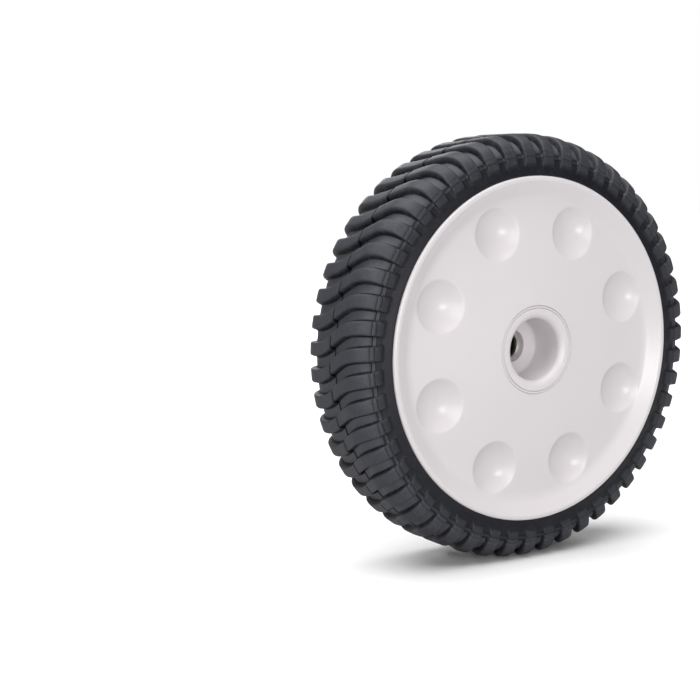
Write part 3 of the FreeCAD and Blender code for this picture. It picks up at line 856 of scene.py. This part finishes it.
@dataclass
class Rim:
    """One plastic moulding: dished face with dimples, drum, flange, internal gear, ribs and hub."""

    columns: int = 384
    arc_steps: int = 5
    longest_step: float = 8.0
    sharp_degrees: float = 32.0
    hub_face: float = 24.0
    hub_ring_radius: float = 21.0
    witness_width: float = 1.2
    witness_depth: float = 0.15
    line_half: float = 0.25
    line_depth: float = 0.7
    recess_radius: float = 14.7
    recess_floor: float = 4.2
    recess_mouth_round: float = 3.0
    recess_floor_round: float = 1.5
    recess_bore_round: float = 0.4
    shoulder_wall: float = 3.0
    dish_floor: float = 20.7
    dish_radius: float = 71.5
    dish_round: float = 10.0
    lip_plane: float = 24.7
    lip_inner_radius: float = 79.4
    lip_slope_round: float = 2.0
    lip_edge_round: float = 1.0
    lip_back: float = 19.2
    rim_radius: float = 81.7
    drum_radius: float = 73.0
    flange_back: float = 17.2
    flange_plane: float = 19.8
    flange_edge_round: float = 0.8
    seat_edge_round: float = 0.3
    seat_round: float = 0.5
    channel_outer: float = 74.7
    channel_inner: float = 72.4
    channel_depth: float = 0.6
    channel_round: float = 0.2
    tooth_seat_radius: float = 70.5
    tooth_seat_round: float = 0.15
    tooth_face: float = 19.2
    tooth_root_radius: float = 70.0
    tooth_tip_radius: float = 65.0
    tooth_tip_width: float = 3.3
    tooth_anchor_radius: float = 71.5
    tooth_belly: float = 0.12
    tooth_edge: float = 0.3
    pressure_angle: float = 20.0
    teeth: int = 54
    web_wall: float = 2.8
    web_round: float = 0.8
    boss_radius: float = 17.5
    boss_end: float = 1.2
    boss_round: float = 2.0
    boss_foot_round: float = 1.0
    tube_radius: float = 11.3
    tube_foot_round: float = 0.8
    bore_radius: float = 7.95
    hub_end: float = 23.4
    hub_end_round: float = 0.6
    hub_bore_round: float = 0.3
    dimples: int = 8
    dimple_circle: float = 59.0
    dimple_radius: float = 12.5
    dimple_depth: float = 4.5
    dimple_mouth: float = 2.2
    hump_wall: float = 1.8
    hump_foot: float = 2.0
    bowl_steps: int = 80
    ball_steps: int = 10
    mouth_steps: int = 7
    # Points that close the dimple's cutter above the face: out from the mouth, and depth.
    cutter_end: tuple[tuple[float, float], ...] = ((1.0, -0.03), (1.0, -3.0), (0.0, -3.0))
    hump_skirt: tuple[float, float] = (0.6, -0.2)
    ring_radii: tuple[float, float] = (40.4, 59.5)
    rib_wall: float = 2.0
    rib_top: float = 1.0
    rib_end_radius: float = 64.0
    rib_edge: float = 0.35
    fin_top: float = 22.6
    fin_radius: float = 16.0
    fin_round: float = 3.5
    fin_foot_radius: float = 21.5
    fin_foot_round: float = 9.0

    @property
    def ball_radius(self) -> float:
        """Return the radius of the ball that a dimple is part of."""
        return (self.dimple_radius ** 2 + self.dimple_depth ** 2) / (2.0 * self.dimple_depth)

    @property
    def web_middle(self) -> float:
        """Return where along the axle the middle of the web lies at the dish's floor."""
        return -(self.dish_floor - self.web_wall / 2.0)

    def section(self) -> Section:
        """Lay out the moulding's section.

        Returns:
            Its points, from the recess over the face, drum, flange and web's back to the hub.
        """
        face, lip, flange = -self.hub_face, -self.lip_plane, self.flange_plane
        groove, channel = face + self.line_depth, flange - self.channel_depth
        band = face + self.witness_depth
        ring = self.hub_ring_radius
        witness = ring - self.witness_width
        corners = [
            (-self.recess_floor, self.bore_radius, self.recess_bore_round),
            (-self.recess_floor, self.recess_radius, self.recess_floor_round),
            (face, self.recess_radius, self.recess_mouth_round),
            (face, witness - self.line_half),
            (groove, witness),
            (band, witness + self.line_half),
            (band, ring - self.line_half),
            (groove, ring),
            (face, ring + self.line_half),
            (-self.dish_floor, self.dish_radius, self.dish_round),
            (lip, self.lip_inner_radius, self.lip_slope_round),
            (lip, self.rim_radius, self.lip_edge_round),
            (-self.lip_back, self.rim_radius, self.seat_edge_round),
            (-self.lip_back, self.drum_radius, self.seat_round),
            (self.flange_back, self.drum_radius, self.seat_round),
            (self.flange_back, self.rim_radius, self.seat_edge_round),
            (flange, self.rim_radius, self.flange_edge_round),
            (flange, self.channel_outer, self.channel_round),
            (channel, self.channel_outer, self.channel_round),
            (channel, self.channel_inner, self.channel_round),
            (flange, self.channel_inner, self.channel_round),
            (flange, self.tooth_seat_radius, self.channel_round),
            (self.tooth_face, self.tooth_seat_radius, self.tooth_seat_round),
            (self.tooth_face, self.tooth_root_radius, self.tooth_seat_round),
            (self.web_wall - self.dish_floor, self.tooth_root_radius, self.web_round),
            (face + self.web_wall, self.boss_radius, self.boss_foot_round),
            (-self.boss_end, self.boss_radius, self.boss_round),
            (-self.boss_end, self.tube_radius, self.tube_foot_round),
            (self.hub_end, self.tube_radius, self.hub_end_round),
            (self.hub_end, self.bore_radius, self.hub_bore_round),
        ]
        return divide_runs(round_corners(corners, self.arc_steps), self.longest_step)

    def face_place(self, radius: np.ndarray) -> np.ndarray:
        """Find where along the axle the outer face lies.

        Args:
            radius: radii inside the lip.

        Returns:
            The place at each radius.
        """
        section = self.section()
        end = next(i for i, point in enumerate(section) if point[1] > self.lip_inner_radius)
        face = np.array(section[:end])
        return np.interp(radius, face[:, 1], face[:, 0])

    def back_place(self, radius: np.ndarray) -> np.ndarray:
        """Return where along the axle the web's back lies at given radii."""
        slope = (self.hub_face - self.dish_floor) / (self.tooth_root_radius - self.boss_radius)
        return self.web_wall - self.hub_face + slope * (radius - self.boss_radius)

    def bowl_mesh(self, name: str, profile: Section, surface: Callable[[np.ndarray], np.ndarray]) -> Mesh:
        """Turn a profile about the middle of the first dimple, on one of the web's surfaces.

        Args:
            name: the mesh's name.
            profile: (out, depth) points from the dimple's axis and back to it.
            surface: where along the axle depth 0 lies at given radii.

        Returns:
            The closed mesh.
        """
        table = np.array(profile)
        angles = np.arange(self.bowl_steps) * TURN / self.bowl_steps
        out = self.dimple_circle + table[:, 0:1] * np.cos(angles)
        beside = table[:, 0:1] * np.sin(angles)
        turn = math.pi / self.dimples
        points = np.stack((
            out * math.sin(turn) + beside * math.cos(turn),
            surface(np.hypot(out, beside)) + table[:, 1:2],
            out * math.cos(turn) - beside * math.sin(turn)), axis=2)
        faces = grid_faces(*out.shape, rows_closed=False, columns_closed=True)
        mesh = mesh_of(name, points.reshape(-1, 3), faces)
        shape = bmesh.new()
        shape.from_mesh(mesh)
        bmesh.ops.remove_doubles(shape, verts=shape.verts, dist=WELD_DISTANCE * MILLIMETRE)
        shape.to_mesh(mesh)
        shape.free()
        return mesh

    def bowl_profile(
        self, ball: float, drop: float, rounding: float, end: Sequence[tuple[float, float]]
    ) -> Section:
        """Return a ball's part below a surface, with an arc that runs from it into that surface.

        Args:
            ball: radius of the ball.
            drop: depth of the ball's lowest point.
            rounding: radius of the arc, on the other side of the outline than the ball.
            end: (out, depth) points that close the profile, out counted from the arc's end.

        Returns:
            The profile's points.
        """
        height = ball - drop
        reach = math.sqrt((ball + rounding) ** 2 - (height + rounding) ** 2)
        swing = math.atan2(reach, height + rounding)
        points = []
        for step in range(self.ball_steps + 1):
            angle = swing * step / self.ball_steps
            points.append((ball * math.sin(angle), ball * math.cos(angle) - height))
        for step in range(1, self.mouth_steps + 1):
            angle = swing * (1.0 - step / self.mouth_steps)
            points.append((reach - rounding * math.sin(angle), rounding * (1.0 - math.cos(angle))))
        return points + [(reach + out if out else 0.0, depth) for out, depth in end]

    def dimple_mesh(self) -> Mesh:
        """Return what a dimple takes out of the face: part of a ball with a rounded mouth."""
        profile = self.bowl_profile(
            self.ball_radius, self.dimple_depth, self.dimple_mouth, self.cutter_end)
        return self.bowl_mesh("dimple_hollow", profile, self.face_place)

    def hump_mesh(self) -> Mesh:
        """Make the hump that a dimple raises on the web's back.

        Returns:
            Part of a ball with a hollow round its foot.
        """
        wall = float(self.back_place(self.dimple_circle) - self.face_place(np.array(self.dimple_circle)))
        profile = self.bowl_profile(
            self.ball_radius + self.hump_wall, self.dimple_depth + self.hump_wall - wall, self.hump_foot,
            [self.hump_skirt, (self.hump_skirt[0], -wall / 2.0), (0.0, -wall / 2.0)])
        return self.bowl_mesh("dimple_hump", profile, self.back_place)

    def tooth_mesh(self) -> Mesh:
        """Make one gear tooth.

        Returns:
            The tooth at the top of the wheel, reaching into the drum.
        """
        half_tip = self.tooth_tip_width / 2.0
        depth = self.tooth_anchor_radius - self.tooth_tip_radius
        half_root = half_tip + depth * math.tan(math.radians(self.pressure_angle))
        middle = (half_tip + half_root) / 2.0 + self.tooth_belly
        outline = [
            (-half_tip, self.tooth_tip_radius), (half_tip, self.tooth_tip_radius),
            (middle, self.tooth_tip_radius + depth / 2.0), (half_root, self.tooth_anchor_radius),
            (-half_root, self.tooth_anchor_radius), (-middle, self.tooth_tip_radius + depth / 2.0)]
        return prism_mesh(
            "gear_tooth", outline, self.web_middle, self.tooth_face,
            lambda side, out, height: (side, height, out), self.tooth_edge)

    def rib_mesh(self) -> Mesh:
        """Make one radial rib, which climbs the hub as a fin.

        Returns:
            The rib at the top of the wheel.
        """
        inside = (self.tube_radius + self.bore_radius) / 2.0
        boss_inside = self.recess_radius + self.web_wall / 2.0
        outline = round_corners([
            (self.fin_top, inside),
            (self.fin_top, self.fin_radius, self.fin_round),
            (-self.rib_top, self.fin_foot_radius, self.fin_foot_round),
            (-self.rib_top, self.rib_end_radius),
            (self.web_middle, self.rib_end_radius),
            (-(self.hub_face - self.web_wall / 2.0), boss_inside),
            (-(self.recess_floor - self.shoulder_wall / 2.0), boss_inside),
            (-(self.recess_floor - self.shoulder_wall / 2.0), inside),
        ], self.arc_steps + 1)
        return prism_mesh(
            "radial_rib", outline, -self.rib_wall / 2.0, self.rib_wall / 2.0,
            lambda across, out, height: (height, across, out), self.rib_edge)

    def stub_mesh(self) -> Mesh:
        """Make one short rib from the outer ring towards the teeth.

        Returns:
            The rib, midway between two radial ribs.
        """
        outline = [
            (-self.rib_top, self.ring_radii[1]), (-self.rib_top, self.rib_end_radius),
            (self.web_middle, self.rib_end_radius), (self.web_middle, self.ring_radii[1])]
        turn = math.pi / self.dimples
        cosine, sine = math.cos(turn), math.sin(turn)
        return prism_mesh(
            "stub_rib", outline, -self.rib_wall / 2.0, self.rib_wall / 2.0,
            lambda across, out, height: (height * cosine + out * sine, across, out * cosine - height * sine),
            self.rib_edge)

    def ring_mesh(self, radius: float) -> Mesh:
        """Make a ring rib.

        Args:
            radius: its mean radius.

        Returns:
            The ring.
        """
        half = self.rib_wall / 2.0
        outline = round_corners([
            (self.web_middle, radius - half), (-self.rib_top, radius - half, self.rib_edge),
            (-self.rib_top, radius + half, self.rib_edge), (self.web_middle, radius + half)])
        return turned_mesh("ring_rib", outline, self.columns // 2)

    def build(self, repeat: RoundRepeat, finish: Material) -> Object:
        """Join the moulding's parts to one closed mesh and set the rim in the frame.

        Args:
            repeat: the tree that repeats shapes round the axle.
            finish: the plastic.

        Returns:
            The rim.
        """
        back = [
            repeat.make(self.tooth_mesh(), self.teeth, finish),
            repeat.make(self.stub_mesh(), self.dimples, finish),
            *map(self.ring_mesh, self.ring_radii),
        ]
        ribs = combine(repeat.make(self.rib_mesh(), self.dimples, finish), back, Joining.ADD)
        shell = turned_mesh("rim_shell", self.section(), self.columns)
        mesh = combine(shell, [ribs, repeat.make(self.hump_mesh(), self.dimples, finish)], Joining.ADD)
        mesh = combine(mesh, [repeat.make(self.dimple_mesh(), self.dimples, finish)], Joining.CUT)
        mesh.name = "moulded_rim"
        mesh.materials.clear()
        mesh.materials.append(finish)
        return finish_piece(mesh, "moulded_rim", "rim", self.sharp_degrees)


@dataclass
class AxleSleeve:
    """Plain steel sleeve in the hub, with painted shade in its bore but for an unshaded length at the outer
    end.
    """

    bore_radius: float = 6.4
    outer_radius: float = 7.9375
    outboard_end: float = -1.2
    inboard_end: float = 22.6
    bore_chamfer: float = 0.5
    outer_chamfer: float = 0.3
    unshaded_length: float = 3.0
    columns: int = 128
    sharp_degrees: float = 30.0

    def build(self, finish: Material) -> Object:
        """Turn the sleeve and set it in the frame.

        Args:
            finish: the steel.

        Returns:
            The sleeve.
        """
        start, end = self.outboard_end, self.inboard_end
        bore, outer = self.bore_radius, self.outer_radius
        outline = [
            (start, bore + self.bore_chamfer),
            (start + self.bore_chamfer, bore),
            (start + self.unshaded_length, bore),
            (end - self.bore_chamfer, bore),
            (end, bore + self.bore_chamfer),
            (end, outer - self.outer_chamfer),
            (end - self.outer_chamfer, outer),
            (start + self.outer_chamfer, outer),
            (start, outer - self.outer_chamfer),
        ]
        mesh = turned_mesh("axle_sleeve", outline, self.columns)
        # Painted shade in the bore, fading in over the unshaded length at the outer end.
        in_bore = [
            float(out == bore and place > start + self.bore_chamfer)
            for place, out in outline for _ in range(self.columns)]
        mesh.attributes.new("bore_shade", "FLOAT", "POINT").data.foreach_set("value", in_bore)
        mesh.materials.append(finish)
        return finish_piece(mesh, "axle_sleeve", "axle_bush", self.sharp_degrees)


class SoftBox(NamedTuple):
    """A square light that looks at the wheel: its power in watts, its side and its place."""

    name: str
    power: float
    size: float
    place: Place


@dataclass
class Studio:
    """White floor and room, soft lights from left, front, back and above, and the photograph's viewpoint."""

    floor_drop: float = 101.65
    floor_half: float = 6000.0
    floor_hex: str = "#fbfbfb"
    bounce_hex: str = "#b6b6b6"
    floor_roughness: float = 0.9
    room_hex: str = "#ffffff"
    surround_left: float = 0.44
    surround_right: float = 0.06
    boxes: tuple[SoftBox, ...] = (
        SoftBox("left_soft_box", 5.4, 800.0, (-600.0, -860.0, 120.0)),
        SoftBox("front_soft_box", 6.0, 380.0, (60.0, -1400.0, -60.0)),
        SoftBox("back_soft_box", 7.0, 700.0, (450.0, 1300.0, 700.0)))
    overhead_strength: float = 3.2
    overhead_spread: float = 70.0
    overhead_place: Place = (-250.0, -100.0, 1500.0)
    eye: Place = (-423.0, -534.2, 78.0)
    gaze: Place = (0.526, 0.842, -0.118)
    lens_mm: float = 72.0

    def build(self) -> None:
        """Make the floor, the surroundings, the lights and the camera."""
        self.lay_floor()
        self.light()
        self.place_camera()

    def lay_floor(self) -> None:
        """Lay a plain pale floor under the wheel, which throws less light back than it shows."""
        half = self.floor_half
        square = ((-half, -half), (half, -half), (half, half), (-half, half))
        corners = np.array([(x, y, -self.floor_drop) for x, y in square])
        floor = new_object("floor", mesh_of("floor", corners, [(0, 1, 2, 3)]))
        surface = Surface("matt_white_studio_floor")
        seen = add_node(surface.tree, "ShaderNodeLightPath").outputs["Is Camera Ray"]
        tone = surface.mix(seen, self.bounce_hex, self.floor_hex)
        floor.data.materials.append(surface.dressed({"Base Color": tone, "Roughness": self.floor_roughness}))

    def light(self) -> None:
        """Light the wheel from a white room, soft boxes on the left, in front and behind, and a top light."""
        scene = bpy.context.scene
        scene.view_settings.view_transform = "Standard"
        world = bpy.data.worlds.new("white_room")
        scene.world = world
        world.use_nodes = True
        tree = world.node_tree
        seen = add_node(tree, "ShaderNodeLightPath").outputs["Is Camera Ray"]
        towards = add_node(tree, "ShaderNodeTexCoord").outputs["Generated"]
        parts = add_node(tree, "ShaderNodeSeparateXYZ", {"Vector": towards})
        fall = add_node(tree, "ShaderNodeMapRange", {
            "Value": parts.outputs["X"], "From Min": -1.0, "To Min": self.surround_left,
            "To Max": self.surround_right})
        strength = add_node(tree, "ShaderNodeMapRange", {"Value": seen, "To Min": fall.outputs["Result"]})
        fill(tree, tree.nodes["Background"], {
            "Color": linear(self.room_hex), "Strength": strength.outputs["Result"]})
        overhead = bpy.data.lights.new("overhead_diffuser", "SUN")
        overhead.energy = self.overhead_strength
        overhead.angle = math.radians(self.overhead_spread)
        aim(overhead, self.overhead_place, -Vector(self.overhead_place))
        for box in self.boxes:
            lamp = bpy.data.lights.new(box.name, "AREA")
            lamp.energy = box.power
            lamp.size = box.size * MILLIMETRE
            aim(lamp, box.place, -Vector(box.place))

    def place_camera(self) -> None:
        """Set the camera where the photograph was taken from."""
        lens = bpy.data.cameras.new("viewpoint")
        lens.lens = self.lens_mm
        bpy.context.scene.camera = aim(lens, self.eye, self.gaze)


def main() -> None:
    """Build the wheel's pieces and the studio; each piece logs its face count."""
    logging.basicConfig(level=logging.INFO, format="%(name)s: %(message)s")
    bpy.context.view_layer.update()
    repeat = RoundRepeat()
    Tyre().build(repeat, MouldedRubber().make())
    Rim().build(repeat, MouldedPlastic().make())
    AxleSleeve().build(DrawnSteel().make())
    Studio().build()


if __name__ == "__main__":
    main()
